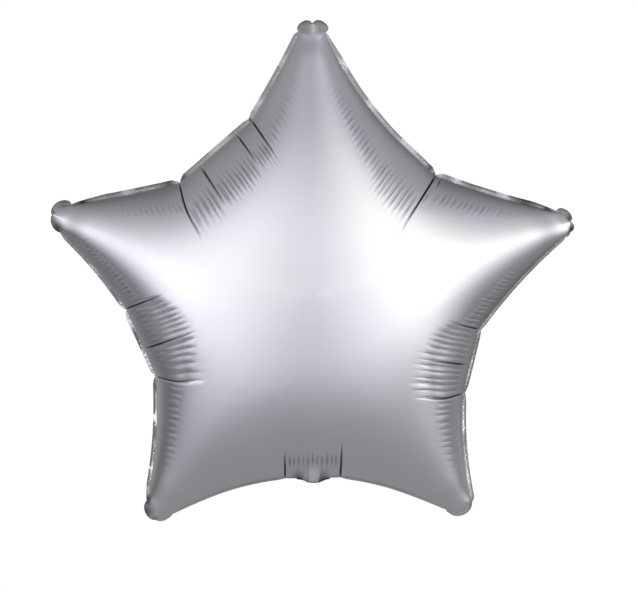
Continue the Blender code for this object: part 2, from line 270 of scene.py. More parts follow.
SEAM_STEPS = 400  # along each straight or round stretch of the seam
SEAM_STEP = 0.0015  # over which its direction is taken
WELD = 1e-5
LEAST_RIDGE = 1e-5  # height of a ridge, where it is divided by
TINY = 1e-12
SOLVER_STEPS = 6000  # at most
SOLVER_END = 1e-12  # it ends when what is left is this share of what it began with
rng = np.random.default_rng(11)

Trough = namedtuple("Trough", "run depth reach start is_crease")


def polar(angle, reach):
    """A point of the star's plane as (x, z), from the star's centre."""
    return np.array([reach * sin(radians(angle)), reach * cos(radians(angle))])


def turned(vectors):
    """The vectors a quarter turn anticlockwise."""
    return np.stack([-vectors[..., 1], vectors[..., 0]], -1)


def unit(vectors):
    return vectors / np.maximum(np.linalg.norm(vectors, axis=-1, keepdims=True), TINY)


def smooth(x):
    x = np.clip(x, 0, 1)
    return x * x * (3 - 2 * x)


class Seam:
    """The seam as a closed line, clockwise from the top tip, with the ridge point of each place."""

    def __init__(self):
        points, shares, sides = [], [], []
        for i, valley in enumerate(VALLEYS):
            arm, following = ARMS[i], ARMS[(i + 1) % len(ARMS)]
            turn = (following["angle"] - arm["angle"]) % 360
            middle = self.valley_middle(valley, arm["angle"] + turn * PARTINGS[i])
            down, down_shares = self.half_arm(arm, valley[0], middle, arm["bow_after"], 1)
            up, up_shares = self.half_arm(following, valley[1], middle, following["bow_before"], -1)
            points += [*down[::-1], *up[1:-1]]
            shares += [*down_shares[::-1], *up_shares[1:-1]]
            sides += [2 * i] * len(down) + [2 * i + 1] * (len(up) - 2)
        self.points, self.shares, self.sides = np.array(points), np.array(shares), np.array(sides)
        steps = np.linalg.norm(np.roll(self.points, -1, axis=0) - self.points, axis=1)
        self.run = np.concatenate([[0], np.cumsum(steps)[:-1]])
        self.length = steps.sum()
        self.tips = [self.nearest(polar(arm["angle"], arm["reach"])) for arm in ARMS]
        corners = [corner for valley in VALLEYS for corner in valley]
        self.corners = [self.nearest(polar(corner["angle"], corner["reach"])) for corner in corners]

    def valley_middle(self, valley, angle):
        start = polar(valley[0]["angle"], valley[0]["reach"])
        end = polar(valley[1]["angle"], valley[1]["reach"])
        across = turned(polar(angle, 1.0))
        share = (start @ across) / ((start - end) @ across)
        return start + share * (end - start)

    def half_arm(self, arm, corner, middle, bow, side):
        """From the valley's middle to the tip's end: seam points, and the ridge point of each."""
        along = polar(arm["angle"], 1.0)
        across = -side * turned(along)
        end = (arm["reach"] - TIP_RADIUS) * along
        elbow = polar(corner["angle"], corner["reach"])
        reach = elbow - end
        touch = np.arctan2(reach @ across, reach @ along)
        touch -= np.arccos(TIP_RADIUS / np.linalg.norm(reach))
        tangent = end + TIP_RADIUS * (cos(touch) * along + sin(touch) * across)
        t = np.linspace(0, 1, SEAM_STEPS)[:, None]
        inward = side * turned(unit(tangent - elbow))
        round_end = touch * (1 - t)
        points = np.concatenate([
            middle + t[:-1] * (elbow - middle),
            (elbow + t * (tangent - elbow) + 4 * bow * t * (1 - t) * inward)[:-1],
            end + TIP_RADIUS * (np.cos(round_end) * along + np.sin(round_end) * across),
        ])
        shares = np.concatenate([
            t[:-1, 0] * corner["aim"],
            (corner["aim"] + t * (1 - corner["aim"]))[:-1, 0],
            np.ones(SEAM_STEPS),
        ])
        return points, shares

    def nearest(self, point):
        return self.run[np.argmin(np.linalg.norm(self.points - point, axis=1))]

    def at_angle(self, angle):
        """Run of the place at this angle round the star."""
        here = np.degrees(np.arctan2(self.points[:, 0], self.points[:, 1])) % 360
        return self.run[np.argmin(np.abs((here - angle + 180) % 360 - 180))]

    def at(self, run):
        return np.stack([
            np.interp(run, self.run, self.points[:, n], period=self.length) for n in range(2)
        ], -1)

    def ridge_points(self, run):
        """The ridge point of each column, shared by columns on both sides of its arm's ridge."""
        stations = np.round(np.interp(run, self.run, self.shares, period=self.length) * RIDGE_STATIONS)
        sides = self.sides[np.searchsorted(self.run, run, side="right") - 1]
        for side in range(2 * len(ARMS)):
            stations[(sides == side) & (stations == stations[sides == side].min())] = 0
        points = np.zeros((len(run), 2))
        for i, arm in enumerate(ARMS):
            before, after = sides == (2 * i - 1) % (2 * len(ARMS)), sides == 2 * i
            common = np.intersect1d(stations[before], stations[after])
            mine = before | after
            nearest = np.argmin(np.abs(stations[mine][:, None] - common), axis=1)
            end = polar(arm["angle"], arm["reach"] - TIP_RADIUS)
            points[mine] = common[nearest][:, None] / RIDGE_STATIONS * end
        return points

    def pleat_at(self, run):
        """Start, reach, depth and pitch of the pleats here."""
        stops = []
        for i, tip in enumerate(self.tips):
            stops += [tip, self.corners[2 * i], self.corners[2 * i + 1]]
        stops.append(self.length)
        section = np.searchsorted(stops, run, side="right") - 1
        valley, part = divmod(section, 3)
        start, reach, depth, pitch = PLEATS[valley][part]
        if part == 1:
            return start, reach * self.panel_share(run, valley), depth, pitch
        share = (run - stops[section]) / (stops[section + 1] - stops[section])
        from_tip = share if part == 0 else 1 - share
        nearer = (PLEATS_AT_TIP + (reach - PLEATS_AT_TIP) * from_tip) / reach
        return start * nearer, reach * nearer, depth * from_tip ** 0.5, pitch

    def panel_share(self, run, valley):
        """How far in the panel reaches here, as a share of its reach in the middle."""
        first, last = self.corners[2 * valley], self.corners[2 * valley + 1]
        across = 2 * self.gap(run, (first + last) / 2) / (last - first)
        at_first, at_last = PANELS[valley]["shares"]
        return 1 - np.where(across < 0, 1 - at_first, 1 - at_last) * np.clip(np.abs(across), 0, 1) ** 2

    def in_valley(self, run, valley, edge):
        """1 between the two corners of a valley, running out to 0 over the edge beyond them."""
        first, last = self.corners[2 * valley], self.corners[2 * valley + 1]
        beyond = np.abs(self.gap(run, (first + last) / 2)) - (last - first) / 2
        return smooth(1 - beyond / edge)

    def gap(self, run, place):
        """Signed distance along the seam from a place, the short way round."""
        return (run - place + self.length / 2) % self.length - self.length / 2


def lay_troughs(seam):
    """Every fold line along the seam, clockwise: the creases, and pleats evenly between them."""
    creases = sorted((seam.at_angle(crease["angle"]), crease) for crease in CREASES)
    troughs = []
    for i, (place, crease) in enumerate(creases):
        troughs.append(Trough(place, crease["depth"], crease["length"], crease["start"], True))
        span = (creases[(i + 1) % len(creases)][0] - place) % seam.length
        steps, reached = [], 0.0
        while reached < span:
            steps.append(reached)
            reached += seam.pleat_at((place + reached) % seam.length)[3]
        steps = np.array(steps[1:]) / reached
        steps += PLEAT_JITTER * rng.uniform(-1, 1, len(steps)) / (len(steps) + 1)
        for run in (place + steps * span) % seam.length:
            start, reach, depth, _ = seam.pleat_at(run)
            from_tip = min(abs(seam.gap(run, tip)) for tip in seam.tips)
            depth *= smooth((from_tip - PLEATS_FROM_TIP) / PLEATS_FADE)
            start *= rng.uniform(*START_SPREAD)
            reach *= rng.uniform(*REACH_SPREAD)
            depth *= rng.uniform(*DEPTH_SPREAD)
            troughs.append(Trough(run, depth, reach, start, False))
    return sorted(troughs)


def lay_columns(seam, troughs):
    """Run of every column, with its trough before, trough after and share of the way between."""
    runs, before, shares = [], [], []
    for i, trough in enumerate(troughs):
        following = troughs[(i + 1) % len(troughs)]
        span = (following.run - trough.run) % seam.length
        first = COLUMNS_TO_MIDDLE_OF_CREASE if trough.is_crease else COLUMNS_TO_MIDDLE
        last = COLUMNS_TO_MIDDLE_OF_CREASE if following.is_crease else COLUMNS_TO_MIDDLE
        for share in (*first, 0.5, *(1 - share for share in last[:0:-1])):
            runs.append((trough.run + share * span) % seam.length)
            before.append(i)
            shares.append(share)
    return np.array(runs), np.array(before), np.array(shares)


def bow_creases(seam, runs, points, plan):
    """Moves the columns round each bowed crease aside, between the seam and its inner end."""
    inward = plan - points[:, None]
    distance = np.linalg.norm(inward, axis=-1)
    aside = turned(unit(inward))
    for crease in CREASES:
        near = smooth(1 - np.abs(seam.gap(runs, seam.at_angle(crease["angle"]))) / BOW_HALF_WIDTH)
        felt_over = np.minimum(BOW_LENGTH * crease["length"], distance.max(axis=1))
        along = np.clip(distance / felt_over[:, None], 0, 1)
        plan = plan - (crease["bow"] * near[:, None] * np.sin(pi * along) ** 2)[..., None] * aside
    return plan


def blow_up(plan):
    """Height of a membrane blown up over the plan, solved by conjugate gradients."""
    _, index = np.unique(np.round(plan.reshape(-1, 2) / WELD).astype(int), axis=0, return_inverse=True)
    index = index.reshape(plan.shape[:2])
    points = np.zeros((index.max() + 1, 2))
    points[index] = plan
    beside = np.roll(index, -1, axis=0)
    triangles = np.concatenate([
        np.stack([index[:, :-1], index[:, 1:], beside[:, 1:]], -1).reshape(-1, 3),
        np.stack([index[:, :-1], beside[:, 1:], beside[:, :-1]], -1).reshape(-1, 3),
    ])
    ends, weights, load = [], [], np.zeros(len(points))
    for turn in range(3):
        a, b, c = (np.roll(triangles, turn, axis=1)[:, n] for n in range(3))
        to_a = points[a] - points[c]
        to_b = points[b] - points[c]
        area = np.abs(to_a[:, 0] * to_b[:, 1] - to_a[:, 1] * to_b[:, 0])
        whole = area > TINY
        weights.append(np.where(whole, (to_a * to_b).sum(1) / np.where(whole, 2 * area, 1), 0))
        ends.append(np.stack([a, b], -1))
        load += np.bincount(c, area / 6, len(points))
    ends, weights = np.concatenate(ends), np.concatenate(weights)
    pairs, place = np.unique(np.sort(ends, axis=1), axis=0, return_inverse=True)
    weights = np.bincount(place.ravel(), weights)
    here, there = pairs.T
    diagonal = np.bincount(here, weights, len(points)) + np.bincount(there, weights, len(points))
    free = np.ones(len(points))
    free[index[:, -1]] = 0

    def pull(height):
        drawn = np.bincount(here, weights * height[there], len(points))
        drawn += np.bincount(there, weights * height[here], len(points))
        return free * (diagonal * height - drawn)

    height = np.zeros(len(points))
    scale = free / np.maximum(diagonal, TINY)
    left = free * load
    step = scale * left
    aim = left @ step
    first = aim
    for _ in range(SOLVER_STEPS):
        drawn = pull(step)
        size = aim / (step @ drawn)
        height += size * step
        left -= size * drawn
        next_step = scale * left
        next_aim = left @ next_step
        if next_aim < SOLVER_END * first:
            break
        step = next_step + next_aim / aim * step
        aim = next_aim
    return np.sqrt(2 * np.maximum(height, 0))[index]


def fold_sheet(sheet, side, inward, troughs, before, shares, seam_spans):
    """Pleats and creases of one sheet, as moves along its normal, with the painted shade of their
    troughs. inward is the way in, in plan.
    """
    across = np.roll(sheet, -1, axis=0) - np.roll(sheet, 1, axis=0)
    down = np.gradient(sheet, axis=1)
    normal = side * unit(np.cross(down, across))
    _, depth, reach, start, is_crease = (np.array(values) for values in zip(*troughs))
    after = (before + 1) % len(troughs)
    move = np.zeros(inward.shape)
    shade = np.zeros(inward.shape)
    for near, share in ((before, shares), (after, 1 - shares)):
        from_start = inward - start[near, None]
        crease_fade = np.clip(1 - inward / reach[near, None], 0, 1) ** CREASE_TAPER
        crease_fade *= smooth(from_start / CREASE_RISE)
        end_length = PLEAT_END_SHARE * (reach - start)[near, None]
        pleat_fade = smooth(from_start / np.minimum(PLEAT_RISE, end_length))
        pleat_fade *= smooth((reach[near, None] - inward) / np.minimum(PLEAT_END, end_length))
        crease = np.clip(1 - share * seam_spans / CREASE_HALF_WIDTH, 0, 1) ** CREASE_SHARPNESS
        pleat_share = share if side < 0 else np.abs(0.5 - share)
        fold = np.clip(1 - 2 * pleat_share, 0, 1) ** PLEAT_SHARPNESS
        pleat = (fold - PLEAT_CREST) * (1 if side < 0 else BACK_PLEATS)
        shape = depth[near] * np.where(is_crease[near], crease, pleat)
        # Painted shade: full in a crease's trough, and in a pleat's fold by its depth.
        painted_trough_shade = np.where(is_crease[near], crease, PLEAT_SHADE * depth[near] * fold)
        fade = np.where(is_crease[near, None], crease_fade, pleat_fade)
        move += shape[:, None] * fade
        shade += painted_trough_shade[:, None] * fade
    move[:, 0] = 0
    return -normal * move[..., None], shade


def rim_widths(seam, runs):
    """Width of the sealed rim: pinched at the corners, and drawn into ears at the tips."""
    width = np.full(len(runs), RIM_WIDTH)
    corners = [corner for valley in VALLEYS for corner in valley]
    for place, corner in zip(seam.corners, corners):
        away = np.clip(np.abs(seam.gap(runs, place)) / RIM_GATHER, 0, 1)
        gathered = corner["rim"] + (RIM_WIDTH - corner["rim"]) * away ** RIM_GATHER_CURVE
        width = np.minimum(width, gathered)
    at_tips, curl = np.zeros(len(runs)), np.zeros(len(runs))
    for place, tip in zip(seam.tips, TIPS):
        gap = seam.gap(runs, place)
        first = min(middle - half for middle, half, _ in tip["ears"])
        last = max(middle + half for middle, half, _ in tip["ears"])
        for beyond, (start, length) in ((first - gap, tip["before"]), (gap - last, tip["after"])):
            widening = np.clip(beyond / length, 0, 1) ** TIP_TAPER_CURVE
            taper = start + (RIM_WIDTH - start) * widening
            width = np.where((beyond > 0) & (beyond < length), np.minimum(width, taper), width)
        ears = np.full(len(runs), EAR_ROOT)
        for middle, half, ear_width in tip["ears"]:
            bulge = np.sqrt(np.clip(1 - ((gap - middle) / half) ** 2, 0, 1))
            ears = np.maximum(ears, EAR_ROOT + (ear_width - EAR_ROOT) * bulge)
            curl = np.maximum(curl, EAR_CURL * bulge ** 2 * smooth(half / CURLING_EAR - 1))
        inside = (gap > first) & (gap < last)
        width = np.where(inside, ears / cos(radians(EAR_LEAN)), width)
        at_tips = np.maximum(at_tips, smooth(1 - np.maximum(first - gap, gap - last) / TIP_EDGE))
    return width, at_tips, curl


def rim_shade(seam, runs, inward):
    """Painted shade of the rim's deep folds, and of the foil this far in from it, from 0 to 1."""
    shade = np.zeros(inward.shape)
    for angle, half, strength, reach in PAINTED_RIM_SHADE:
        away = np.abs(seam.gap(runs, seam.at_angle(angle))) / half
        fade = np.clip(1 - inward / reach, 0, 1)
        shade = np.maximum(shade, strength * smooth(1 - away)[:, None] * fade)
    return shade


def sharpen_tips(plan, height):
    """Takes the ridge of each arm straight down to the seam at its tip, like a cone's side.

    Also returns how far forward each point moves where the tips bend.
    """
    lift = np.zeros(height.shape)
    for arm in ARMS:
        from_tip = np.maximum(arm["reach"] - plan @ polar(arm["angle"], 1.0), 0)
        aside = np.abs(plan @ turned(polar(arm["angle"], 1.0)))
        crest = (aside < CREST_HALF_WIDTH) & (from_tip < 2 * TIP_CONE)
        order = np.argsort(from_tip[crest])
        profile = from_tip[crest][order], height[crest][order]
        ridge = np.interp(from_tip, *profile)
        straight = np.interp(TIP_CONE, *profile) * from_tip / TIP_CONE
        rounded = smooth((from_tip / TIP_CONE - CONE_SHARE) / (1 - CONE_SHARE))
        lowered = 1 - (1 - straight / np.maximum(ridge, LEAST_RIDGE)) * (1 - rounded)
        on_arm = aside < ARM_HALF_WIDTH
        height = np.where(on_arm, height * np.minimum(lowered, 1), height)
        bend = TIP_LIFT * np.clip(1 - from_tip / TIP_CONE, 0, 1) ** 2
        lift = np.where(on_arm, np.maximum(lift, bend), lift)
    return height, lift


def ruffle(seam, runs, waves):
    """A wave made of several that each close round the seam."""
    total = np.zeros(len(runs))
    round_star = 2 * pi * runs / seam.length
    for pitch, height in waves:
        count = round(seam.length / pitch)
        swells = np.sin(round(count / WAVES_TO_SWELL) * round_star + rng.uniform(*PHASE_SPREAD))
        wave = np.sin(count * round_star + rng.uniform(*PHASE_SPREAD))
        total += height * (1 + WAVE_SWELL * swells) * wave
    return total


def draw_panels_flat(seam, runs, inward):
    """How far the foil falls below its blown-up form where the gathers draw a valley's panel flat."""
    fall = np.zeros(inward.shape)
    for valley, panel in enumerate(PANELS):
        here = panel["fall"] * seam.in_valley(runs, valley, PANEL_EDGE)[:, None]
        nearer = inward / seam.panel_share(runs, valley)[:, None]
        fall += here * np.interp(nearer, (0, panel["lowest"], panel["end"]), (0, 1, 0))
    return fall


def shape_rim(seam, runs, points, outward):
    """Width and lean of the sealed rim, the curl of its seam, the wave of its edge, and the neck."""
    facing = np.degrees(np.arctan2(outward[:, 0], outward[:, 1]))
    lean = np.interp(facing, *zip(*RIM_LEANS), period=360)
    looks = np.interp(facing, *zip(*RIM_LOOKS), period=360)
    lean = np.radians(lean + ruffle(seam, runs, LEAN_WAVES))
    width, at_tips, curl = rim_widths(seam, runs)
    drawn_in = np.minimum(width, RIM_WIDTH) / RIM_WIDTH
    width = np.where(at_tips < 1, drawn_in * looks / np.cos(lean), width)
    lean = lean * (1 - at_tips) + radians(EAR_LEAN) * at_tips
    over_neck = np.clip(2 - 2 * np.abs(points[:, 0]) / NECK_WIDTH, 0, 1) * (points[:, 1] < 0)
    lean = lean * (1 - over_neck) + radians(NECK_LEAN) * over_neck
    flutter = ruffle(seam, runs, EDGE_WAVES) * (1 - over_neck) * width / RIM_WIDTH
    return width, lean, curl, flutter, over_neck


def shape_foil():
    """Points of every column, from the front ridge over the rim to the back ridge, and their painted
    shade and highlight.
    """
    seam = Seam()
    troughs = lay_troughs(seam)
    runs, before, shares = lay_columns(seam, troughs)
    trough_runs = np.array([trough.run for trough in troughs])
    spans = ((np.roll(trough_runs, -1) - trough_runs) % seam.length)[before]
    points = seam.at(runs)
    ridge = seam.ridge_points(runs)
    plan = points[:, None] + ROW_SHARES[::-1, None] * (ridge - points)[:, None]
    plan = bow_creases(seam, runs, points, plan)
    height, lift = sharpen_tips(plan, ROUNDNESS * blow_up(plan))
    inward = np.linalg.norm(plan - points[:, None], axis=-1)
    fall = draw_panels_flat(seam, runs, inward)
    outward = turned(unit(seam.at(runs + SEAM_STEP) - seam.at(runs - SEAM_STEP)))
    width, lean, curl, flutter, over_neck = shape_rim(seam, runs, points, outward)
    wave = SEAM_WAVE * np.cos(2 * pi * shares) * (1 - over_neck)

    below = points[:, 1] < 0
    from_neck = np.abs(points[:, 0] - NECK_SIDE)
    at_neck = np.exp(-(from_neck / NECK_BULGE_HALF) ** 3) * below
    strip = smooth(4 - 4 * from_neck / STRIP_HALF) * below
    dip = NECK_BULGE * at_neck
    felt_over = np.minimum(CURL_REACH + SWELL_REACH * at_neck, inward[:, 0])
    felt = np.clip(1 - inward / felt_over[:, None], 0, 1) ** 2
    curl_in = (curl - NECK_SWELL * at_neck)[:, None] * felt - lift
    curl_in -= STRIP_RISE * strip[:, None] * np.clip(1 - inward / STRIP_LENGTH, 0, 1)
    # Painted highlight on the front foil over the neck's flat strip.
    painted_highlight = strip[:, None] * smooth(2 - inward / STRIP_PAINTED_HIGHLIGHT_LENGTH)

    sheets, shades = [], []
    # Painted shade of the rim's deep folds, carried over the foil and onto the rim's rows.
    fold_shade = rim_shade(seam, runs, inward)
    rim_rows_painted_shade = np.repeat(fold_shade[:, -1:], len(RIM_SHARES), axis=1)
    for side in (-1, 1):
        sheet = np.stack([plan[..., 0], side * height, plan[..., 1]], -1)
        move, shade = fold_sheet(sheet, side, inward, troughs, before, shares, spans)
        sheet += move
        sheet[..., 1] -= side * fall
        sheet[..., 2] -= dip[:, None] * np.exp(-inward / DIP_REACH)
        sheet[:, -1, 1] = wave + side * RIM_THICKNESS / 2
        sheet[..., 1] += curl_in
        # Painted shade of the folds, less the painted highlight on the front sheet.
        shade = np.maximum(shade, fold_shade) - painted_highlight * (side < 0)
        shades.append(np.concatenate([shade, rim_rows_painted_shade], axis=1))
        rows = [sheet]
        for share in RIM_SHARES:
            out = share * width
            flat = points + outward * (out * np.cos(lean))[:, None]
            flat[:, 1] -= dip
            back = out * np.sin(lean) + wave + flutter * share + side * RIM_THICKNESS / 2
            back += curl_in[:, -1]
            rows.append(np.stack([flat[:, 0], back, flat[:, 1]], -1)[:, None])
        sheets.append(np.concatenate(rows, axis=1))
    foil = np.concatenate([sheets[0], sheets[1][:, ::-1]], axis=1)
    foil[..., 2] += HUB_HEIGHT
    return foil, np.concatenate([shades[0], shades[1][:, ::-1]], axis=1)


def sew_foil(foil, shade):
    """One closed body: a strip as long as the seam, rolled round and welded at the ridges."""
    columns, rows = foil.shape[:2]
    body = bmesh.new()
    row_of = body.verts.layers.int.new("row")
    # Painted shade of the folds, and a painted highlight below 0, for the foil's material.
    shade_of = body.verts.layers.float.new("painted_shade_and_highlight")
    grid = bmesh.ops.create_grid(body, x_segments=columns, y_segments=rows - 1, size=1.0)["verts"]
    for vertex in grid:
        column = round((vertex.co.x + 1) / 2 * columns) % columns
        vertex[row_of] = round((vertex.co.y + 1) / 2 * (rows - 1))
        vertex[shade_of] = shade[column, vertex[row_of]]
        vertex.co = foil[column, vertex[row_of]]
    rim_rows = range(ROWS, rows - ROWS)
    for face in body.faces:
        face.smooth = True
        if all(vertex[row_of] in rim_rows for vertex in face.verts):
            face.material_index = 1
    bmesh.ops.remove_doubles(body, verts=body.verts, dist=WELD)
    bmesh.ops.dissolve_degenerate(body, edges=body.edges, dist=WELD)
    bmesh.ops.recalc_face_normals(body, faces=body.faces)
    return body


# Finish of the foil. A noise is (scale, detail), a relief is (strength, height).
# Painted shade: the colour the foil takes in its deep folds and creases.
PAINTED_SHADE_COLOUR = (0.05, 0.05, 0.06, 1)
# Painted highlight: the lighter colour of the foil pressed flat over the neck.
PAINTED_HIGHLIGHT_COLOUR = (0.95, 0.94, 0.97, 1)
SATIN_CLOUD = (14.0, 3.0)
SATIN_GRAIN = (900.0, 2.0)
SATIN_RELIEF = (0.06, 0.0003)
SATIN_TINTS = ((0.700, 0.688, 0.742, 1), (0.735, 0.722, 0.774, 1))
SATIN_ROUGHNESS = (0.33, 0.40)
RIM_CLOUD = (160.0, 3.0)
RIM_RELIEF = (0.35, 0.0004)
RIM_TINTS = ((0.68, 0.675, 0.705, 1), (0.78, 0.775, 0.80, 1))
RIM_ROUGHNESS = (0.18, 0.34)
# Painted glint: the colour of the crimp's flecks on the rim.
PAINTED_GLINT_COLOUR = (0.97, 0.97, 0.98, 1)
# Flecks of the crimp and the patches they lie in, as (noise, the part of it that is taken): a painted
# glint in the colour, and a relief in the bump.
FLECKS = (((520.0, 1.0), (0.50, 0.66)), ((26.0, 1.0), (0.47, 0.60)))


def worked(tree, operation, *values):
    """A maths node's result. A value is a number or another node's output."""
    node = tree.nodes.new("ShaderNodeMath")
    node.operation = operation
    for socket, value in zip(node.inputs, values):
        if isinstance(value, (int, float)):
            socket.default_value = value
        else:
            tree.links.new(value, socket)
    return node.outputs["Value"]


def noise(tree, where, scale, detail):
    texture = tree.nodes.new("ShaderNodeTexNoise")
    texture.inputs["Scale"].default_value = scale
    texture.inputs["Detail"].default_value = detail
    tree.links.new(where, texture.inputs["Vector"])
    return texture.outputs["Fac"]


def stretched(tree, value, source, target):
    """A value taken from one range to another."""
    node = tree.nodes.new("ShaderNodeMapRange")
    for name, limit in zip(("From Min", "From Max", "To Min", "To Max"), (*source, *target)):
        node.inputs[name].default_value = limit
    tree.links.new(value, node.inputs["Value"])
    return node.outputs["Result"]


def tinted(tree, value, tints):
    """A colour from the first tint to the second, by a value from 0 to 1."""
    ramp = tree.nodes.new("ShaderNodeValToRGB")
    for stop, tint in zip(ramp.color_ramp.elements, tints):
        stop.color = tint
    tree.links.new(value, ramp.inputs["Fac"])
    return ramp.outputs["Color"]


def mixed(tree, factor, colour, other):
    """The colour where the factor is 0, the other where it is 1."""
    mix = tree.nodes.new("ShaderNodeMix")
    mix.data_type = "RGBA"
    mix.inputs["B"].default_value = other
    tree.links.new(factor, mix.inputs["Factor"])
    tree.links.new(colour, mix.inputs["A"])
    return mix.outputs["Result"]


def foil_finish(name, look, relief):
    """A foil's material. look gives its colour, its roughness and what it is embossed with.

    The colour is painted darker in the deep folds, as painted shade where the foil mirrors only
    itself. Below 0 the value is a painted highlight: how much lighter the foil is painted where it is
    pressed flat.
    """
    material = bpy.data.materials.new(name)
    material.use_nodes = True
    tree = material.node_tree
    where = tree.nodes.new("ShaderNodeTexCoord").outputs["Object"]
    colour, roughness, embossing = look(tree, where)
    shader = tree.nodes["Principled BSDF"]
    shader.inputs["Metallic"].default_value = 1.0
    # Painted shade in the folds, and a painted highlight below 0, read from the body's attribute.
    fold = tree.nodes.new("ShaderNodeAttribute")
    fold.attribute_name = "painted_shade_and_highlight"
    colour = mixed(tree, fold.outputs["Fac"], colour, PAINTED_SHADE_COLOUR)
    # Below 0 the attribute is a painted highlight toward a lighter colour.
    painted_highlight = worked(tree, "MULTIPLY", fold.outputs["Fac"], -1.0)
    painted_highlight.node.use_clamp = True
    tree.links.new(mixed(tree, painted_highlight, colour, PAINTED_HIGHLIGHT_COLOUR), shader.inputs["Base Color"])
    tree.links.new(roughness, shader.inputs["Roughness"])
    bump = tree.nodes.new("ShaderNodeBump")
    bump.inputs["Strength"].default_value, bump.inputs["Distance"].default_value = relief
    tree.links.new(embossing, bump.inputs["Height"])
    tree.links.new(bump.outputs["Normal"], shader.inputs["Normal"])
    return material


def satin_foil(tree, where):
    """A soft even satin with a very fine grain."""
    cloud = noise(tree, where, *SATIN_CLOUD)
    grain = noise(tree, where, *SATIN_GRAIN)
    roughness = stretched(tree, cloud, (0.0, 1.0), SATIN_ROUGHNESS)
    return tinted(tree, cloud, SATIN_TINTS), roughness, grain


def sealed_rim_foil(tree, where):
    """A glossier foil, crimped by the sealing jaws, with flecks in patches: painted glints in the colour,
    crimp relief in the bump.
    """
    cloud = noise(tree, where, *RIM_CLOUD)
    crimp_and_glint = worked(tree, "MULTIPLY", *(
        stretched(tree, noise(tree, where, *spots), taken, (0.0, 1.0)) for spots, taken in FLECKS
    ))
    colour = mixed(tree, crimp_and_glint, tinted(tree, cloud, RIM_TINTS), PAINTED_GLINT_COLOUR)
    roughness = stretched(tree, cloud, (0.0, 1.0), RIM_ROUGHNESS)
    return colour, roughness, worked(tree, "ADD", cloud, crimp_and_glint)


def neck_path(points):
    """Middle line of the folded neck as (y, z), from the rim down, back and up behind the foil."""
    rim = points[:, RIM_ROW]
    columns = points[(np.abs(rim[:, 0]) < NECK_WIDTH / 2) & (rim[:, 2] < NECK_LENGTH)]
    root = columns[:, RIM_ROW : RIM_ROW + 2, 1:].mean(axis=(0, 1))
    behind = columns[:, RIM_ROW + 2 :]
    profile = np.stack([behind[..., 1].max(axis=0), behind[..., 2].mean(axis=0)], -1)
    along = unit(np.gradient(profile, axis=0))
    clear = profile + NECK_CLEARANCE * np.stack([along[:, 1], -along[:, 0]], -1)
    bend = [root + [NECK_FOLD * y, -NECK_DROP * z] for y, z in NECK_BEND]
    line = np.array([root, *bend, *clear[clear[:, 0] > root[0] + NECK_FOLD]])
    run = np.concatenate([[0], np.cumsum(np.linalg.norm(np.diff(line, axis=0), axis=1))])
    up = len(bend)
    steps = np.concatenate([run[: up + 1], np.linspace(run[up], NECK_LENGTH, NECK_ROWS + 1)[1:]])
    return np.stack([np.interp(steps, run, line[:, n]) for n in (0, 1)], -1)


def add_neck(body, points):
    """Draws the neck out of the rim's edge over its width, along the folded path."""
    row_of = body.verts.layers.int["row"]

    def on_neck(vertex):
        on_edge = vertex[row_of] in (RIM_ROW, RIM_ROW + 1)
        return on_edge and abs(vertex.co.x) < NECK_WIDTH / 2 and vertex.co.z < NECK_LENGTH

    drawn = [face for face in body.faces if all(on_neck(vertex) for vertex in face.verts)]
    path = neck_path(points)
    rim = points[(np.abs(points[:, RIM_ROW, 0]) < NECK_WIDTH) & (points[:, RIM_ROW, 2] < NECK_LENGTH)]
    rim = rim[np.argsort(rim[:, RIM_ROW, 0]), RIM_ROW]
    for step, (before, after) in enumerate(zip(path, path[1:])):
        follow = 1 - step / NECK_ROWS
        old = drawn
        extruded = bmesh.ops.extrude_face_region(body, geom=old)["geom"]
        bmesh.ops.delete(body, geom=old, context="FACES")
        drawn = [item for item in extruded if isinstance(item, bmesh.types.BMFace)]
        ahead = unit(after - before)
        for vertex in {vertex for face in drawn for vertex in face.verts}:
            off = RIM_THICKNESS / 2 if vertex[row_of] > RIM_ROW else -RIM_THICKNESS / 2
            vertex.co.y = after[0] - off * ahead[1]
            dip = np.interp(vertex.co.x, rim[:, 0], rim[:, 2]) - path[0, 1]
            vertex.co.z = after[1] + off * ahead[0] + max(follow, 0) * dip


def settle_order(body):
    """Orders edges and faces by their vertices, as an extrusion adds them in another order each run."""
    body.verts.index_update()
    count = len(body.verts)

    def place(element):
        number = 0
        for index in sorted(vertex.index for vertex in element.verts)[:3]:
            number = number * count + index
        return number

    for elements in (body.edges, body.faces):
        elements.sort(key=place)


def make_balloon():
    foil, shade = shape_foil()
    body = sew_foil(foil, shade)
    add_neck(body, foil)
    settle_order(body)
    mesh = bpy.data.meshes.new("star_foil")
    body.to_mesh(mesh)
    body.free()
    mesh.set_sharp_from_angle(angle=radians(SHARP_FOLD))
    mesh.materials.append(foil_finish("satin_foil", satin_foil, SATIN_RELIEF))
    mesh.materials.append(foil_finish("sealed_rim_foil", sealed_rim_foil, RIM_RELIEF))
    balloon = bpy.data.objects.new("star_foil", mesh)
    bpy.context.scene.collection.objects.link(balloon)
    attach(balloon, "root")
    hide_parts("star_balloon")


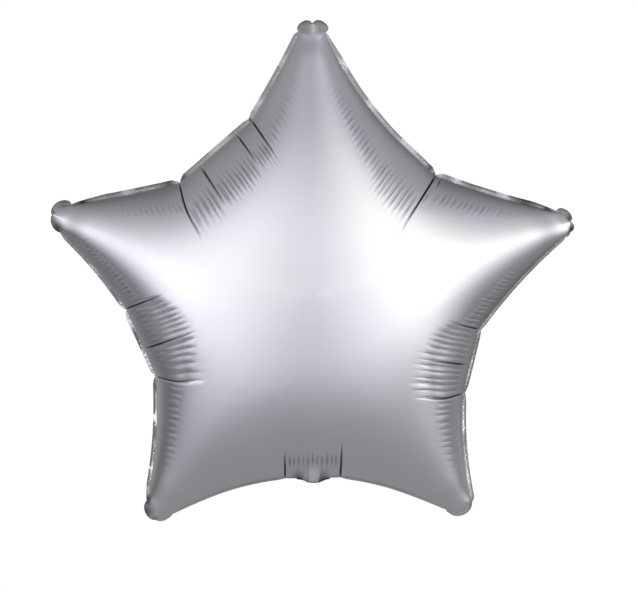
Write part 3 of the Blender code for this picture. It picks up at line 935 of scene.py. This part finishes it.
# Soft lights round the balloon: azimuth (0 is behind the camera, positive to its right), elevation,
# how narrow the light is, its strength, and its blue beside its red and green.
SOFT_LIGHTS = (
    (-61, 0, 25, 1.90, 1.04),
    (-30, -25, 10, 0.70, 1.25),
    (-30, 0, 10, 0.68, 0.80),
    (-30, 25, 10, 1.10, 1.02),
    (-30, 50, 10, 0.28, 1.10),
    (12, 15, 22, 0.64, 1.15),
    (24, -15, 22, 1.20, 1.08),
    (36, 15, 22, 1.44, 0.80),
    (36, 30, 22, 0.60, 0.95),
    (36, 45, 22, 0.82, 0.86),
    (47, -1, 37, 1.10, 0.88),
    (60, 0, 22, 1.40, 1.00),
    (72, 0, 22, 0.70, 1.00),
    (45, 50, 10, 0.26, 1.35),
    (-110, 35, 6, 0.40, 1.00),
    (110, 35, 6, 0.42, 1.00),
    (-150, 0, 12, 0.40, 1.00),
    (132, 0, 12, 0.30, 1.00),
    (-112, -42, 22, 0.42, 1.05),
    (74, -36, 30, 0.60, 1.00),
    (115, -42, 22, 0.30, 1.05),
    (0, -44, 18, 0.42, 1.05),
    (0, 88, 8, 0.10, 1.00),
)
BACKDROP_HALF_ANGLE = 14.0  # how wide the white backdrop looks from the balloon


def light_room():
    world = bpy.data.worlds.new("studio")
    bpy.context.scene.world = world
    world.use_nodes = True
    tree = world.node_tree
    nodes, links = tree.nodes, tree.links
    nodes.clear()
    where = nodes.new("ShaderNodeTexCoord").outputs["Generated"]

    def toward(azimuth, elevation):
        """Cosine between where a ray goes and this direction."""
        dot = nodes.new("ShaderNodeVectorMath")
        dot.operation = "DOT_PRODUCT"
        a, e = radians(azimuth), radians(elevation)
        dot.inputs[1].default_value = (sin(a) * cos(e), -cos(a) * cos(e), sin(e))
        links.new(where, dot.inputs[0])
        return dot.outputs["Value"]

    plain, blue = 0.0, 0.0
    for azimuth, elevation, narrow, strength, blueness in SOFT_LIGHTS:
        away = worked(tree, "MULTIPLY_ADD", toward(azimuth, elevation), narrow, -narrow)
        glow = worked(tree, "EXPONENT", away)
        plain = worked(tree, "MULTIPLY_ADD", glow, strength, plain)
        blue = worked(tree, "MULTIPLY_ADD", glow, strength * blueness, blue)
    colour = nodes.new("ShaderNodeCombineColor")
    for socket, value in zip(colour.inputs, (plain, plain, blue)):
        links.new(value, socket)
    room = nodes.new("ShaderNodeBackground")
    links.new(colour.outputs["Color"], room.inputs["Color"])
    room.inputs["Strength"].default_value = 1.0
    backdrop = nodes.new("ShaderNodeBackground")
    backdrop.inputs["Color"].default_value = (1, 1, 1, 1)
    path = nodes.new("ShaderNodeLightPath")
    behind = worked(tree, "GREATER_THAN", toward(180, 0), cos(radians(BACKDROP_HALF_ANGLE)))
    mirrored = worked(tree, "MAXIMUM", path.outputs["Is Glossy Ray"], path.outputs["Is Transmission Ray"])
    mirrored = worked(tree, "MULTIPLY", mirrored, behind)
    mix = nodes.new("ShaderNodeMixShader")
    links.new(worked(tree, "MAXIMUM", path.outputs["Is Camera Ray"], mirrored), mix.inputs["Fac"])
    links.new(room.outputs["Background"], mix.inputs[1])
    links.new(backdrop.outputs["Background"], mix.inputs[2])
    out = nodes.new("ShaderNodeOutputWorld")
    links.new(mix.outputs["Shader"], out.inputs["Surface"])


FLOOR_HEIGHT = -0.9
FLOOR_SIZE = 1.6
FLOOR_COLOUR = (0.63, 0.63, 0.63, 1)
FLOOR_ROUGHNESS = 0.9
FLOOR_SEEN = 0.71  # added where the camera looks at it, so that it looks white


def lay_floor():
    sheet = bmesh.new()
    bmesh.ops.create_circle(sheet, cap_ends=True, segments=96, radius=FLOOR_SIZE)
    bmesh.ops.translate(sheet, verts=sheet.verts, vec=(0, 0, FLOOR_HEIGHT))
    mesh = bpy.data.meshes.new("studio_floor")
    sheet.to_mesh(mesh)
    sheet.free()
    material = bpy.data.materials.new("pale_floor")
    material.use_nodes = True
    tree = material.node_tree
    shader = tree.nodes["Principled BSDF"]
    shader.inputs["Base Color"].default_value = FLOOR_COLOUR
    shader.inputs["Roughness"].default_value = FLOOR_ROUGHNESS
    shader.inputs["Emission Color"].default_value = (1, 1, 1, 1)
    path = tree.nodes.new("ShaderNodeLightPath")
    seen = worked(tree, "MULTIPLY", path.outputs["Is Camera Ray"], FLOOR_SEEN)
    tree.links.new(seen, shader.inputs["Emission Strength"])
    mesh.materials.append(material)
    floor = bpy.data.objects.new("studio_floor", mesh)
    bpy.context.scene.collection.objects.link(floor)


# Camera, straight in front of the star. Lens and sensor are in millimetres.
CAMERA_DISTANCE = 1.528
CAMERA_SIDE = 0.0047
CAMERA_HEIGHT = 0.1589
LENS = 100.0
SENSOR_WIDTH = 36.0


def set_camera():
    camera = bpy.data.objects.new("camera", bpy.data.cameras.new("camera"))
    camera.data.lens = LENS
    camera.data.sensor_width = SENSOR_WIDTH
    camera.location = (CAMERA_SIDE, -CAMERA_DISTANCE, CAMERA_HEIGHT)
    camera.rotation_euler = (radians(90), 0, 0)
    bpy.context.scene.collection.objects.link(camera)
    bpy.context.scene.camera = camera


set_camera()
make_balloon()
light_room()
lay_floor()
bpy.context.scene.view_settings.view_transform = "Standard"
